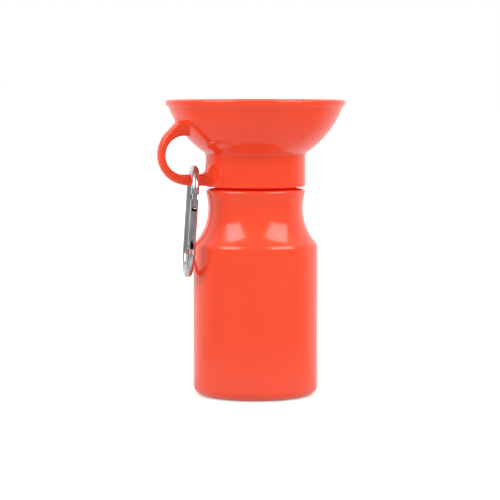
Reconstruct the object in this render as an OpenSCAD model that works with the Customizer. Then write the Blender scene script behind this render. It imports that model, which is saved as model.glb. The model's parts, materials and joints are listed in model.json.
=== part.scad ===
// Travel water bottle with a screwed-on drinking bowl, a carry loop and a spring clip.
// The squeeze bottle stands on its base. A dip tube takes the water up to a nozzle, which
// the bowl's floor closes when the bowl is screwed down.
// Millimetres, +Z up, origin at the centre of the base, carry loop towards -X.

/* [Bottle] */
// Radius of the body
body_r = 38.6; // [37:0.1:42]
// Radius at the waist's narrowest point
waist_r = 29.3; // [28.5:0.1:31]
// Height of the waist's narrowest point
waist_z = 116.2; // [112:0.1:118]
// Radius of the hollow curve of the waist
waist_arc_r = 32; // [29:0.5:36]
// Radius of the shoulder's rounding
shoulder_r = 5; // [4:0.5:8]
// Height of the bottle's flat top
bottle_h = 127.2; // [124:0.2:132]
// Rounding of the top edge
top_edge_r = 1.8; // [1:0.1:2.5]
// Rounding of the base edge
base_edge_r = 6.5; // [4:0.5:9]
// Thickness of the squeezable wall
bottle_wall = 1.6; // [1.2:0.1:2.2]
// Rise of the push-up in the base
push_up = 2.5; // [1.5:0.1:4]
// Radius of the push-up
push_up_r = 26.5; // [20:0.5:27.5]

/* [Neck] */
// Outer radius of the neck under its threads
neck_r = 24.4; // [23.8:0.1:24.8]
// Wall of the neck
neck_wall = 2.1; // [1.8:0.1:2.6]
// Height of the neck above the flat top
neck_h = 17.8; // [17:0.1:19]

/* [Bowl] */
// Radius of the round bowl, outside
bowl_r = 57.3; // [56:0.1:59]
// Height from the collar's lower edge to the rim
bowl_h = 53.4; // [51:0.2:58]
// Height of the bowl's centre above its rim
centre_rise = 15; // [13:0.5:17]
// Wall of the bowl
bowl_wall = 1.8; // [1.4:0.1:2.2]
// Thickness of the bowl's floor
floor_t = 2; // [1.6:0.1:2.6]
// Rounding between floor and wall, inside
floor_blend_r = 8; // [5:0.5:10]
// Outer radius of the rim's lip
rim_r = 55.7; // [55.4:0.1:57]
// Height of the lip with its flare
lip_h = 5; // [4.5:0.1:6]
// Rounding of the rim's outer edge
rim_edge_r = 1.8; // [1:0.1:2]
// Outer radius of the collar
collar_r = 31; // [30.4:0.1:32]
// Gap between the bottle's top and the collar
collar_gap = 2.4; // [1.2:0.1:3]
// Blend between collar and bowl
collar_blend_r = 3; // [2:0.5:5]
// Wall of the collar's outer skirt
skirt_wall = 1.6; // [1.2:0.1:1.8]
// Radial room for the threads inside the collar
thread_room = 1.4; // [1.2:0.1:1.6]
// Wall of the threaded sleeve
sleeve_wall = 2; // [1.9:0.1:2.2]
// Number of slots in the floor
slot_count = 6; // [4:1:8]
// Radius of the ring of slots
slot_ring_r = 17; // [15:0.5:19]
// Width of a slot
slot_w = 3.6; // [2.6:0.2:3.8]
// Share of the ring that the slots take
slot_share = 0.55; // [0.4:0.05:0.6]

/* [Carry loop] */
// Width of the loop's strap
strap_w = 9; // [7:0.2:10]
// Outermost reach of the loop from the axis
loop_reach = 62.9; // [60:0.1:66]
// Radius of the loop's outer curve
loop_out_r = 18.9; // [17.5:0.1:20]
// Radius of the loop's hole
loop_hole_r = 11.8; // [11:0.1:12.6]
// Thickness of the strap where it reaches furthest
strap_t = 4.25; // [4:0.05:5.5]
// Thickness of the bar that the clip hangs on
bar_t = 6.85; // [5.5:0.05:7.5]
// Rounding of the strap's edges
strap_edge_r = 2; // [1:0.1:2]
// Radius of the gusset between bar and collar
gusset_r = 5.6; // [5:0.1:7]
// Flare of the strap's width at its two roots
root_flare = 1.4; // [0:0.2:2.5]

/* [Valve] */
// Thickness of the gasket on the neck's rim
gasket_t = 1; // [0.8:0.1:1.4]
// Thickness of the valve insert's flange
flange_t = 1.6; // [1.2:0.1:2]
// Depth of the valve insert's spigot in the neck
spigot_h = 6; // [4:0.5:8]
// Wall of the spigot
spigot_wall = 1.4; // [1:0.1:1.8]
// Height from the flange to the bowl's floor
nozzle_h = 3; // [2.6:0.1:3.6]
// Outer radius of the nozzle
nozzle_r = 9.8; // [9.4:0.1:11]
// Inner radius of the seal on the nozzle
nozzle_seal_r = 7; // [6.4:0.1:7.2]
// Width of the seal on the nozzle
nozzle_seal_w = 2; // [1.4:0.1:2]
// Height of the seal above the nozzle
seal_stand = 1; // [0.6:0.1:1.2]
// Depth of the seal's groove in the nozzle
seal_sink = 0.8; // [0.5:0.1:1]
// Outer radius of the dip tube
tube_r = 4; // [3.4:0.1:4.4]
// Wall of the dip tube
tube_wall = 0.8; // [0.6:0.1:1]
// Gap between the dip tube's foot and the bottle's floor
tube_gap = 2.4; // [1.5:0.1:4]
// Depth of the dip tube's socket
socket_h = 12; // [9:0.5:15]
// Wall of the dip tube's socket
socket_wall = 1.5; // [1.1:0.1:1.8]
// Radial width of the sliding seal
slide_seal_w = 2.2; // [1.9:0.1:2.3]
// Height of the sliding seal
slide_seal_h = 2.8; // [2.2:0.1:3]
// Drop of the sliding seal below the neck's rim
slide_seal_drop = 1; // [0.6:0.1:1.4]

/* [Clip] */
// Length of the clip
clip_l = 69.4; // [66:0.2:74]
// Width of the clip
clip_w = 34.1; // [33:0.1:36]
// Diameter of the clip's rod
rod_d = 5.1; // [4.8:0.1:5.5]
// Distance from the clip's top to the gate's upper end
gate_drop = 20.3; // [19.6:0.1:21]
// Length of the gate
gate_l = 30.7; // [29.5:0.1:31.5]
// Diameter of the gate
gate_d = 4.9; // [4.7:0.1:5.3]
// Thickness of the hook on the nose
hook_t = 2.6; // [2.2:0.1:2.8]
// Height of the hook below the nose
hook_h = 8.7; // [8.2:0.1:9.2]
// Thickness of the tang that the gate turns on
tang_t = 1.6; // [1.2:0.1:2]
// Radius of the tang's round end
tang_r = 1.9; // [1.7:0.05:2]
// Offset of the tang's cam from the rivet
cam_offset = 1; // [0.6:0.05:1.1]
// Radius of the rivet
rivet_r = 0.9; // [0.7:0.05:1]
// Distance from the gate's lower end to the rivet
rivet_up = 2; // [1.8:0.1:2.4]
// Radius of the latch pin
latch_r = 0.8; // [0.6:0.05:0.9]
// Radius of the plunger in the gate
plunger_r = 0.9; // [0.7:0.05:0.95]
// Length of the plunger
plunger_l = 4.3; // [3.5:0.1:5]
// Length of the gate's spring
spring_l = 6; // [5.5:0.1:7]
// Diameter of the spring's wire
wire_d = 0.3; // [0.25:0.01:0.32]
// Radius at which the clip hangs on the loop's bar
hang_r = 39.5; // [39.3:0.1:41]
// Outward lean of the clip
lean = 3.8; // [2.4:0.1:5]
// Turn of the clip about the upright
twist = 11; // [0:1:20]

/* [Clearances] */
// Clearance of a piece that slides or turns
run_gap = 0.05; // [0.02:0.01:0.09]
// Clearance of a piece that stays where it is pushed in
seat_gap = 0.02; // [0.01:0.01:0.05]
// Clearance beside the hook and the tang
side_gap = 0.2; // [0.1:0.05:0.3]
// Clearance between the clip and the bar that it hangs on
hang_gap = 0.3; // [0.2:0.05:0.5]

/* [Hidden] */
$fn = 96;
bottle_red = [0.93, 0.16, 0.10];
bowl_red = [0.90, 0.14, 0.09];
seal_grey = [0.82, 0.82, 0.80];
tube_white = [0.93, 0.94, 0.93];
clip_silver = [0.66, 0.66, 0.68];
pin_steel = [0.50, 0.50, 0.52];
// Overshoot of a cut past the face that it opens
cut = 1;

// Heights of the bottle, the neck and the bowl
neck_bore_r = neck_r - neck_wall;
rim_z = bottle_h + neck_h;
flange_z = rim_z + gasket_t;
flange_top = flange_z + flange_t;
floor_under = flange_top + nozzle_h;
floor_z = floor_under + floor_t;
collar_z = bottle_h + collar_gap;
top_z = collar_z + bowl_h;
bowl_c = [0, top_z + centre_rise];

// Centres of the bottle's curves, each tangent to the next
waist_c = [waist_r + waist_arc_r, waist_z];
shoulder_dx = waist_c[0] - body_r + shoulder_r;
shoulder_dz = sqrt(pow(shoulder_r + waist_arc_r, 2) - pow(shoulder_dx, 2));
shoulder_c = [body_r - shoulder_r, waist_z - shoulder_dz];
shoulder_turn = atan2(shoulder_dz, shoulder_dx);
flare_turn = asin((bottle_h - waist_z - top_edge_r) / (waist_arc_r + top_edge_r));
inner_flare = asin((bottle_h - bottle_wall - waist_z) / (waist_arc_r + bottle_wall));
top_edge_c = [waist_c[0] - (waist_arc_r + top_edge_r) * cos(flare_turn), bottle_h - top_edge_r];
base_c = [body_r - base_edge_r, base_edge_r];
dome_r = (pow(push_up_r, 2) + pow(push_up, 2)) / (2 * push_up);
dome_turn = asin(push_up_r / dome_r);
neck_root_r = 0.8;
deck_r = top_edge_c[0] - 0.8;
neck_z = bottle_h + neck_root_r;
neck_edge_r = 0.5;

// Radii inside the collar
thread_bore_r = neck_r + thread_room;
sleeve_r = thread_bore_r + sleeve_wall;
seal_groove_r = neck_r + slide_seal_w + run_gap;
chamber_room = 0.8;
chamber_r = neck_r + chamber_room;
lead_in = 1;
seal_top = rim_z - slide_seal_drop;
seal_low = seal_top - slide_seal_h;

// Curves of the bowl
blend_cx = collar_r + collar_blend_r;
blend_c = [blend_cx, bowl_c[1] - sqrt(pow(bowl_r + collar_blend_r, 2) - pow(blend_cx, 2))];
blend_turn = atan2(bowl_c[1] - blend_c[1], blend_cx);
lip_turn = asin((centre_rise + lip_h) / bowl_r);
lip_low_r = 1.2;
lip_low_drop = 2.4;
collar_edge_r = 0.5;
cavity_r = bowl_r - bowl_wall;
floor_c_dz = bowl_c[1] - floor_z - floor_blend_r;
floor_c = [sqrt(pow(cavity_r - floor_blend_r, 2) - pow(floor_c_dz, 2)), floor_z + floor_blend_r];
floor_turn = atan2(floor_c_dz, floor_c[0]);
mouth_edge = 0.5;
mouth_turn = asin((centre_rise + mouth_edge) / cavity_r);
slot_angle = 360 / slot_count * slot_share;

// Curves of the carry loop in its own plane, as distance from the axis and height
bar_rise = 1.05;
bar_low = collar_z + bar_rise;
root_low = collar_z + collar_edge_r + 0.1;
bar_top = bar_low + bar_t;
out_c = [loop_reach - loop_out_r, bar_low + loop_out_r];
hole_c = [loop_reach - strap_t - loop_hole_r, bar_top + loop_hole_r];
// The gusset's curve starts just inside the collar's skin, so that it cuts it cleanly
gusset_sink = 0.2;
gusset_c = [collar_r - gusset_sink + gusset_r, bar_top + gusset_r];
gusset_steps = 8;
bend_steps = 20;
edge_steps = 4;
out_turn = 45;
hole_turn = 100;
root_in = 1.3;
// Where the two edges of the upper root meet the bowl's skin, half way through its wall
skin_r = bowl_r - bowl_wall / 2;

// Valve
gasket_inset = 0.1;
throat_r = tube_r - tube_wall;
nozzle_top = floor_under - seal_stand;
spigot_r = neck_bore_r - run_gap;
mouth_wall = 0.8;
tube_low = push_up + bottle_wall + tube_gap;
rib_count = 4;
rib_t = 1.2;
rib_h = 3.5;
notch_w = 2.6;
notch_h = 4;

// Clip, in its own plane: x across towards the gate, z up, origin at the top bend's centre
rod_r = rod_d / 2;
gate_r = gate_d / 2;
bend_r = (clip_w - rod_d) / 2;
leg_l = clip_l - clip_w;
crest_z = bend_r + rod_r;
gate_top = crest_z - gate_drop;
gate_low = gate_top - gate_l;
rivet_z = gate_low + rivet_up;
tang_foot = -leg_l - 1.4;
nose_cone = 0.9;
nose_tip_r = 1.5;
hook_half = 2.1;
hook_corner = 0.7;
latch_x = bend_r - 1;
latch_z = -hook_h + 3.1;
slot_low = -hook_h - 1.9;
slot_web = 0.7;
web_drop = 0.4;
gate_edge = 0.4;
fork_top = rivet_z + tang_r + 1.5;
// The cam's centre lies on the far side of the rivet, so that opening the gate lifts the plunger
cam_angle = 163;
cam_x = bend_r + cam_offset * cos(cam_angle);
cam_z = rivet_z + cam_offset * sin(cam_angle);
cam_lift = cam_offset * sin(cam_angle)
    + sqrt(pow(tang_r + plunger_r, 2) - pow(cam_offset * cos(cam_angle), 2));
tip_gap = 0.1;
plunger_z = rivet_z + cam_lift + tip_gap;
spring_z = plunger_z + plunger_l - plunger_r;
spring_turns = 8;
spring_sides = 6;
turn_rings = 8;
coil_r = plunger_r - wire_d / 2 - run_gap;

// Place of the clip: its top bend lies over the bar and touches both of the bar's upper edges
hang_reach = bend_r - rod_r - hang_gap - strap_edge_r;
hang_half = strap_w / 2 / cos(twist) - strap_edge_r;
hang_drop = sqrt(pow(hang_reach, 2) - pow(hang_half, 2));
hang_z = bar_top - strap_edge_r - hang_drop;
hang_x = -(hang_r + bend_r * sin(lean));

// Points along an arc from angle a to angle b, in n steps
function arc(c, r, a, b, n) = [for (i = [0:n]) c + r * [cos(a + (b - a) * i / n), sin(a + (b - a) * i / n)]];

// Outline of the bottle's outside, from the axis at the base up to its flat top
function bottle_outside() = concat(
    arc([0, push_up - dome_r], dome_r, 90, 90 - dome_turn, 8),
    arc(base_c, base_edge_r, -90, 0, 18),
    arc(shoulder_c, shoulder_r, 0, shoulder_turn, 12),
    arc(waist_c, waist_arc_r, 180 + shoulder_turn, 180 - flare_turn, 24),
    arc(top_edge_c, top_edge_r, -flare_turn, 90, 10),
    [[deck_r, bottle_h]]
);

// Outline of the bottle's inside, from the axis at the base up to its flat top
function bottle_inside() = concat(
    arc([0, push_up + bottle_wall - dome_r], dome_r, 90, 90 - dome_turn, 8),
    arc(base_c, base_edge_r - bottle_wall, -90, 0, 18),
    arc(shoulder_c, shoulder_r - bottle_wall, 0, shoulder_turn, 12),
    arc(waist_c, waist_arc_r + bottle_wall, 180 + shoulder_turn, 180 - inner_flare, 24),
    [[deck_r, bottle_h - bottle_wall]]
);

// A list of points in the opposite order
function reversed(p) = [for (i = [len(p) - 1:-1:0]) p[i]];

// Bottle: a blow-moulded shell, up to the edge of its flat top
module bottle() {
    color(bottle_red)
        rotate_extrude()
            polygon(concat(bottle_outside(), reversed(bottle_inside())));
}

// Neck and flat top: moulded in one with the bottle, and a node of their own so that they collide well
module bottle_neck() {
    color(bottle_red)
        rotate_extrude()
            polygon(concat(
                [[neck_bore_r, bottle_h - bottle_wall], [deck_r, bottle_h - bottle_wall], [deck_r, bottle_h]],
                arc([neck_r + neck_root_r, neck_z], neck_root_r, 270, 180, 6),
                arc([neck_r - neck_edge_r, rim_z - neck_edge_r], neck_edge_r, 0, 90, 5),
                [[neck_bore_r, rim_z]]
            ));
}

// Outline of the bowl as a solid body, from the collar's lower edge to the rim
function bowl_outside() = concat(
    [[0, collar_z]],
    arc([collar_r - collar_edge_r, collar_z + collar_edge_r], collar_edge_r, -90, 0, 5),
    arc(blend_c, collar_blend_r, 180, 180 - blend_turn, 12),
    arc(bowl_c, bowl_r, -blend_turn, -lip_turn, 24),
    arc([rim_r - lip_low_r, top_z - lip_low_drop], lip_low_r, -45, 0, 6),
    arc([rim_r - rim_edge_r, top_z - rim_edge_r], rim_edge_r, 0, 90, 10),
    [[0, top_z]]
);

// Outline of the hollow above the bowl's floor
function bowl_hollow() = concat(
    [[0, floor_z]],
    arc(floor_c, floor_blend_r, -90, -floor_turn, 10),
    arc(bowl_c, cavity_r, -floor_turn, -mouth_turn, 24),
    [[cavity_r * cos(mouth_turn) + mouth_edge, top_z], [cavity_r * cos(mouth_turn) + mouth_edge, top_z + cut]],
    [[0, top_z + cut]]
);

// Outline of the hollow under the bowl's floor: chamber, seal groove, threaded bore and lead-in
function collar_hollow() = [
    [0, collar_z - cut],
    [thread_bore_r + lead_in, collar_z - cut],
    [thread_bore_r + lead_in, collar_z],
    [thread_bore_r, collar_z + lead_in],
    [thread_bore_r, seal_low - run_gap],
    [seal_groove_r, seal_low - run_gap],
    [seal_groove_r, seal_top + run_gap],
    [chamber_r, seal_top + run_gap],
    [chamber_r, floor_under],
    [0, floor_under],
];

// Curved slots through the bowl's floor
module floor_slots() {
    for (i = [0:slot_count - 1])
        rotate([0, 0, i * 360 / slot_count]) translate([0, 0, floor_under - cut])
            rotate_extrude(angle = slot_angle)
                translate([slot_ring_r - slot_w / 2, 0]) square([slot_w, floor_t + 2 * cut]);
}

// How far inwards a line from p, rising by slope, runs until it meets the middle of the bowl's wall
function run_in(p, slope) =
    let (
        dz = bowl_c[1] - p[1],
        half = p[0] + dz * slope,
        k = 1 + slope * slope
    )
    (half - sqrt(half * half - k * (p[0] * p[0] + dz * dz - skin_r * skin_r))) / k;

// The end of a bend at angle turn, carried on in a straight line into the bowl's wall, in two steps
function into_bowl(c, r, turn) =
    let (
        p = c + r * [cos(turn), sin(turn)],
        slope = 1 / tan(turn),
        d = run_in(p, slope)
    )
    [for (t = [0.5, 1]) p + t * d * [-1, slope]];

// Edges of the strap: the outer one and the one round the hole, station by station
outer_edge = concat(
    [[collar_r - root_in, root_low]],
    [for (i = [0:gusset_steps]) let (t = i / gusset_steps / 2)
        [collar_r + t * (out_c[0] - collar_r), root_low + t * (bar_low - root_low)]],
    arc(out_c, loop_out_r, -90, out_turn, bend_steps),
    into_bowl(out_c, loop_out_r, out_turn)
);
hole_edge = concat(
    [[collar_r - root_in, bar_top + gusset_r + root_in]],
    arc(gusset_c, gusset_r, 180, 270, gusset_steps),
    arc(hole_c, loop_hole_r, -90, hole_turn, bend_steps),
    into_bowl(hole_c, loop_hole_r, hole_turn)
);

// Half the strap's width at station i of n, wider at both roots
function strap_half(i, n) =
    strap_w / 2 + root_flare * (pow(max(0, 1 - i / 4), 2) + pow(max(0, 1 - (n - 1 - i) / 7), 2));

// One section of the strap: a rounded rectangle between the two edges
function strap_section(outer, hole, half) =
    let (
        mid = (outer + hole) / 2,
        run = (outer - hole) / norm(outer - hole),
        a = norm(outer - hole) / 2,
        e = min(strap_edge_r, a * 0.98)
    )
    [for (q = [0:3]) for (j = [0:edge_steps])
        let (
            t = 90 * q + 90 * j / edge_steps,
            sx = (q == 0 || q == 3) ? 1 : -1,
            sy = q < 2 ? 1 : -1,
            d = sx * (a - e) + e * cos(t),
            w = sy * (half - e) + e * sin(t),
            p = mid + d * run
        )
        [-p[0], w, p[1]]];

// Strap of the carry loop, lofted along its two edges, with its roots run into the bowl's skin
module strap() {
    n = len(outer_edge);
    m = 4 * (edge_steps + 1);
    points = [for (i = [0:n - 1]) each strap_section(outer_edge[i], hole_edge[i], strap_half(i, n))];
    sides = [for (i = [0:n - 2]) for (j = [0:m - 1])
        let (a = i * m + j, b = i * m + (j + 1) % m)
            each [[a, b, b + m], [a, b + m, a + m]]];
    caps = [[for (j = [m - 1:-1:0]) j], [for (j = [0:m - 1]) (n - 1) * m + j]];
    polyhedron(points = points, faces = concat(sides, caps), convexity = 6);
}

// Carry loop: moulded on the bowl and its collar, and ending at their skin
module carry_loop() {
    color(bowl_red)
        difference() {
            strap();
            rotate_extrude() polygon(bowl_outside());
        }
}

// Bowl: the round bowl, its slotted floor and the collar that screws onto the neck
module bowl() {
    color(bowl_red)
        difference() {
            rotate_extrude() polygon(bowl_outside());
            rotate_extrude() polygon(bowl_hollow());
            rotate_extrude() polygon(collar_hollow());
            rotate_extrude()
                translate([sleeve_r, collar_z - cut])
                    square([collar_r - skirt_wall - sleeve_r, floor_under - collar_z + cut]);
            floor_slots();
        }
}

// Valve insert: flange on the neck's rim, spigot, tube socket and nozzle
module valve_insert() {
    color(bowl_red) {
        difference() {
            rotate_extrude()
                polygon([
                    [tube_r + socket_wall, flange_z - socket_h],
                    [tube_r + socket_wall, flange_z],
                    [spigot_r - spigot_wall, flange_z],
                    [spigot_r - spigot_wall, flange_z - spigot_h],
                    [spigot_r - spigot_wall / 2, flange_z - spigot_h],
                    [spigot_r, flange_z - spigot_h + spigot_wall],
                    [spigot_r, flange_z],
                    [neck_r, flange_z],
                    [neck_r, flange_top],
                    [nozzle_r, flange_top],
                    [nozzle_r, nozzle_top],
                    [nozzle_seal_r - mouth_wall, nozzle_top],
                    [throat_r, flange_top - flange_t / 2],
                    [throat_r, flange_z],
                    [tube_r + seat_gap, flange_z],
                    [tube_r + seat_gap, flange_z - socket_h],
                ]);
            rotate_extrude()
                translate([nozzle_seal_r, nozzle_top - seal_sink])
                    square([nozzle_seal_w, seal_sink + cut]);
        }
        for (i = [0:rib_count - 1])
            rotate([0, 0, 45 + i * 360 / rib_count])
                translate([tube_r + socket_wall / 2, -rib_t / 2, flange_z - rib_h])
                    cube([spigot_r - spigot_wall / 2 - tube_r - socket_wall / 2, rib_t, rib_h + flange_t / 2]);
    }
}

// A flat ring from radius a to radius b
module ring(a, b, z, h) {
    translate([0, 0, z])
        rotate_extrude() translate([a, 0]) square([b - a, h]);
}

// Gasket between the neck's rim and the valve insert
module neck_gasket() {
    color(seal_grey) ring(neck_bore_r, neck_r - gasket_inset, rim_z, gasket_t);
}

// Seal in the nozzle's top, which the bowl's floor presses on
module nozzle_seal() {
    color(seal_grey)
        ring(nozzle_seal_r + run_gap, nozzle_seal_r + nozzle_seal_w - run_gap,
            nozzle_top - seal_sink, seal_sink + seal_stand);
}

// Seal in the collar's groove, which slides on the neck
module slide_seal() {
    color(seal_grey) ring(neck_r + run_gap, neck_r + slide_seal_w, seal_low, slide_seal_h);
}

// Dip tube with two notches in its foot
module dip_tube() {
    color(tube_white)
        difference() {
            ring(throat_r, tube_r, tube_low, flange_z - tube_low);
            for (a = [0, 90])
                rotate([0, 0, a]) {
                    translate([-tube_r - cut, -notch_w / 2, tube_low - cut])
                        cube([2 * (tube_r + cut), notch_w, notch_h - notch_w / 2 + cut]);
                    translate([0, 0, tube_low + notch_h - notch_w / 2])
                        rotate([0, 90, 0]) cylinder(r = notch_w / 2, h = 2 * (tube_r + cut), center = true);
                }
        }
}

// Puts a piece of the clip where it hangs on the loop
module hung() {
    translate([hang_x, 0, hang_z])
        rotate([0, 0, -90 - twist]) rotate([-lean, 0, 0]) children();
}

// A cylinder across the clip's plane
module cross_pin(r, l, x, z) {
    translate([x, 0, z]) rotate([90, 0, 0]) cylinder(r = r, h = l, center = true);
}

// Half a ring of rod, bent upwards
module rod_bend() {
    rotate([90, 0, 0]) rotate_extrude(angle = 180) translate([bend_r, 0]) circle(r = rod_r);
}

// Hook under the nose, with its notch for the latch pin
module nose_hook() {
    difference() {
        rotate([90, 0, 0])
            translate([bend_r, 0, -hook_t / 2]) linear_extrude(hook_t)
                polygon([
                    [-hook_half, -nose_cone],
                    [-nose_tip_r, 0],
                    [nose_tip_r, 0],
                    [hook_half, -nose_cone],
                    [hook_half, hook_corner - hook_h],
                    [hook_half - hook_corner, -hook_h],
                    [hook_corner - hook_half, -hook_h],
                    [-hook_half, hook_corner - hook_h],
                ]);
        cross_pin(latch_r + side_gap, hook_t + cut, latch_x, latch_z);
        translate([latch_x - 2 * hook_half, -hook_t, latch_z - latch_r - side_gap])
            cube([2 * hook_half, 2 * hook_t, 2 * (latch_r + side_gap)]);
    }
}

// Tang at the gate's foot: a round end for the rivet and a cam for the plunger
module gate_tang() {
    difference() {
        union() {
            cross_pin(tang_r, tang_t, bend_r, rivet_z);
            cross_pin(tang_r, tang_t, cam_x, cam_z);
            translate([cam_x - tang_r, -tang_t / 2, tang_foot - rod_r / 2])
                cube([bend_r + tang_r - cam_x + tang_r, tang_t, rivet_z - tang_foot + rod_r / 2]);
        }
        cross_pin(rivet_r + run_gap, tang_t + cut, bend_r, rivet_z);
    }
}

// Body of the clip: one bent rod from the nose round to the tang
module clip_body() {
    color(clip_silver) hung() {
        rod_bend();
        translate([-bend_r, 0, -leg_l]) cylinder(r = rod_r, h = leg_l);
        difference() {
            translate([0, 0, -leg_l]) mirror([0, 0, 1]) rod_bend();
            translate([bend_r - 2 * rod_r, -2 * rod_r, tang_foot]) cube([4 * rod_r, 4 * rod_r, rod_d]);
        }
        translate([bend_r, 0, -nose_cone]) cylinder(r1 = nose_tip_r, r2 = rod_r, h = nose_cone);
        nose_hook();
        gate_tang();
    }
}

// Gate: a round bar slotted for the hook, forked for the tang and bored for the plunger
module clip_gate() {
    color(clip_silver) hung()
        difference() {
            translate([bend_r, 0, gate_low])
                rotate_extrude()
                    polygon([
                        [0, 0],
                        [gate_r - gate_edge, 0],
                        [gate_r, gate_edge],
                        [gate_r, gate_l - gate_edge],
                        [gate_r - gate_edge, gate_l],
                        [0, gate_l],
                    ]);
            translate([bend_r - rod_d, -hook_t / 2 - side_gap, -hook_h - web_drop])
                cube([2 * rod_d, hook_t + 2 * side_gap, gate_top + hook_h + web_drop + cut]);
            translate([bend_r - gate_r + slot_web, -hook_t / 2 - side_gap, slot_low])
                cube([2 * rod_d, hook_t + 2 * side_gap, gate_top - slot_low + cut]);
            translate([bend_r - rod_d, -tang_t / 2 - side_gap, gate_low - cut])
                cube([2 * rod_d, tang_t + 2 * side_gap, fork_top - gate_low + cut]);
            cross_pin(latch_r + seat_gap, rod_d + cut, latch_x, latch_z);
            cross_pin(rivet_r + seat_gap, rod_d + cut, bend_r, rivet_z);
            translate([bend_r, 0, fork_top - cut])
                cylinder(r = plunger_r + run_gap, h = spring_z + spring_l - fork_top + cut);
        }
}

// Rivet that the gate turns on
module gate_rivet() {
    color(pin_steel) hung() cross_pin(rivet_r, gate_d, bend_r, rivet_z);
}

// Pin in the gate's head that the hook holds
module latch_pin() {
    color(pin_steel) hung()
        cross_pin(latch_r, 2 * sqrt(pow(gate_r, 2) - pow(bend_r - latch_x, 2)), latch_x, latch_z);
}

// Plunger that presses on the tang's cam
module gate_plunger() {
    color(pin_steel) hung() translate([bend_r, 0, plunger_z - plunger_r]) {
        translate([0, 0, plunger_r]) sphere(r = plunger_r);
        translate([0, 0, plunger_r]) cylinder(r = plunger_r, h = plunger_l - plunger_r);
    }
}

// Spring behind the plunger, one unbroken coil of round wire
module gate_spring() {
    rings = spring_turns * turn_rings;
    wire_r = wire_d / 2;
    climb = spring_l - wire_d;
    points = [for (i = [0:rings]) for (j = [0:spring_sides - 1])
        let (a = 360 * i / turn_rings, b = 360 * j / spring_sides, r = coil_r + wire_r * cos(b))
            [r * cos(a), r * sin(a), wire_r + climb * i / rings + wire_r * sin(b)]];
    sides = [for (i = [0:rings - 1]) for (j = [0:spring_sides - 1])
        let (k = i * spring_sides, a = k + j, b = k + (j + 1) % spring_sides)
            each [[a, b, b + spring_sides], [a, b + spring_sides, a + spring_sides]]];
    caps = [[for (j = [spring_sides - 1:-1:0]) j], [for (j = [0:spring_sides - 1]) rings * spring_sides + j]];
    color(pin_steel) hung() translate([bend_r, 0, spring_z])
        polyhedron(points = points, faces = concat(sides, caps), convexity = 12);
}

bottle();
bottle_neck();
bowl();
carry_loop();
valve_insert();
neck_gasket();
nozzle_seal();
slide_seal();
dip_tube();
clip_body();
clip_gate();
gate_rivet();
latch_pin();
gate_plunger();
gate_spring();
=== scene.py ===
"""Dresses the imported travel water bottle: bottle, drinking bowl, carry loop, valve and spring clip.

Lengths are in metres and angles in degrees, except where numpy or Blender wants radians. The frame
is that of the CAD: +Z up, the origin at the centre of the base and the carry loop towards -X. Every
new surface is a grid of points worked out with numpy.
"""

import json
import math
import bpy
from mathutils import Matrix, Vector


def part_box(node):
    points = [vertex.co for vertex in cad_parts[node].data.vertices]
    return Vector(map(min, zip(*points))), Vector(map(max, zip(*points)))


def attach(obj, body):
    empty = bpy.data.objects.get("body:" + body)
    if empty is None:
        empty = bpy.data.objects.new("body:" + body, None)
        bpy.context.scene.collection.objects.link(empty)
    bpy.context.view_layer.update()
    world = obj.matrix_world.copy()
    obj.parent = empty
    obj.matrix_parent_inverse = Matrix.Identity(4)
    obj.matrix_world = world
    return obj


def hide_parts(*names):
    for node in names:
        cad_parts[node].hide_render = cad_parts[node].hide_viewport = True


bl_info = {
    "name": "Travel Water Bottle",
    "version": (1, 0, 0),
    "blender": (4, 5, 0),
    "location": "3D View > Sidebar > Water Bottle",
    "description": "Makes the bottle, its bowl, its carry loop and its clip round the packed frame",
    "category": "Object",
}

import bmesh
import bpy
import numpy as np
from mathutils import Vector

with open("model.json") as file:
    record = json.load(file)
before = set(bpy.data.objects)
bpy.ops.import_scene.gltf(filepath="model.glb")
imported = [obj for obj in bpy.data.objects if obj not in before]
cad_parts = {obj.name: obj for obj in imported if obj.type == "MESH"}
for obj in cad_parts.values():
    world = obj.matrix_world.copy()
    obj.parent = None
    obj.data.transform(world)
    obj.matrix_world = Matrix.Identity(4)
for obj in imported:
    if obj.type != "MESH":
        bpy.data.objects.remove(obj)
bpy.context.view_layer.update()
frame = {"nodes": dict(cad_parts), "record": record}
BOTTLE_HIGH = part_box("bottle")[1]
NECK_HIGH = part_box("bottle_neck")[1]
BOWL_LOW, BOWL_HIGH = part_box("bowl")
LOOP_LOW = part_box("carry_loop")[0]
MM = 0.001
# Lengths that differ by less count as the same, and points that are nearer are merged
SAME = 1e-6
# Edges that turn by more degrees stay sharp
CREASE = 32
# Direction of the mould's parting line on the bottle, from +X
SEAM_AT = math.radians(-18)
# What gloss sees: brightness behind and in front, and the cosines between which it changes
GLOSS_SEES = (1.0, 0.3, -0.8, 0.2)


def length(name, millimetres, text):
    """A length as a Blender property, given in millimetres and kept in metres."""
    return bpy.props.FloatProperty(
        name=name, description=text, default=millimetres * MM, min=0.0, unit="LENGTH", precision=5
    )


def angle(name, degrees, text):
    """An angle as a Blender property, given in degrees and kept in radians."""
    return bpy.props.FloatProperty(
        name=name, description=text, default=math.radians(degrees), subtype="ANGLE"
    )


def colour(name, red, green, blue, text):
    """A colour as a Blender property, given as it looks on a screen, from 0 to 255."""
    seen = np.array([red, green, blue]) / 255
    linear = np.where(seen <= 0.04045, seen / 12.92, ((seen + 0.055) / 1.055) ** 2.4)
    return bpy.props.FloatVectorProperty(
        name=name, description=text, default=tuple(linear), size=3,
        min=0.0, max=1.0, subtype="COLOR",
    )


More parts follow.
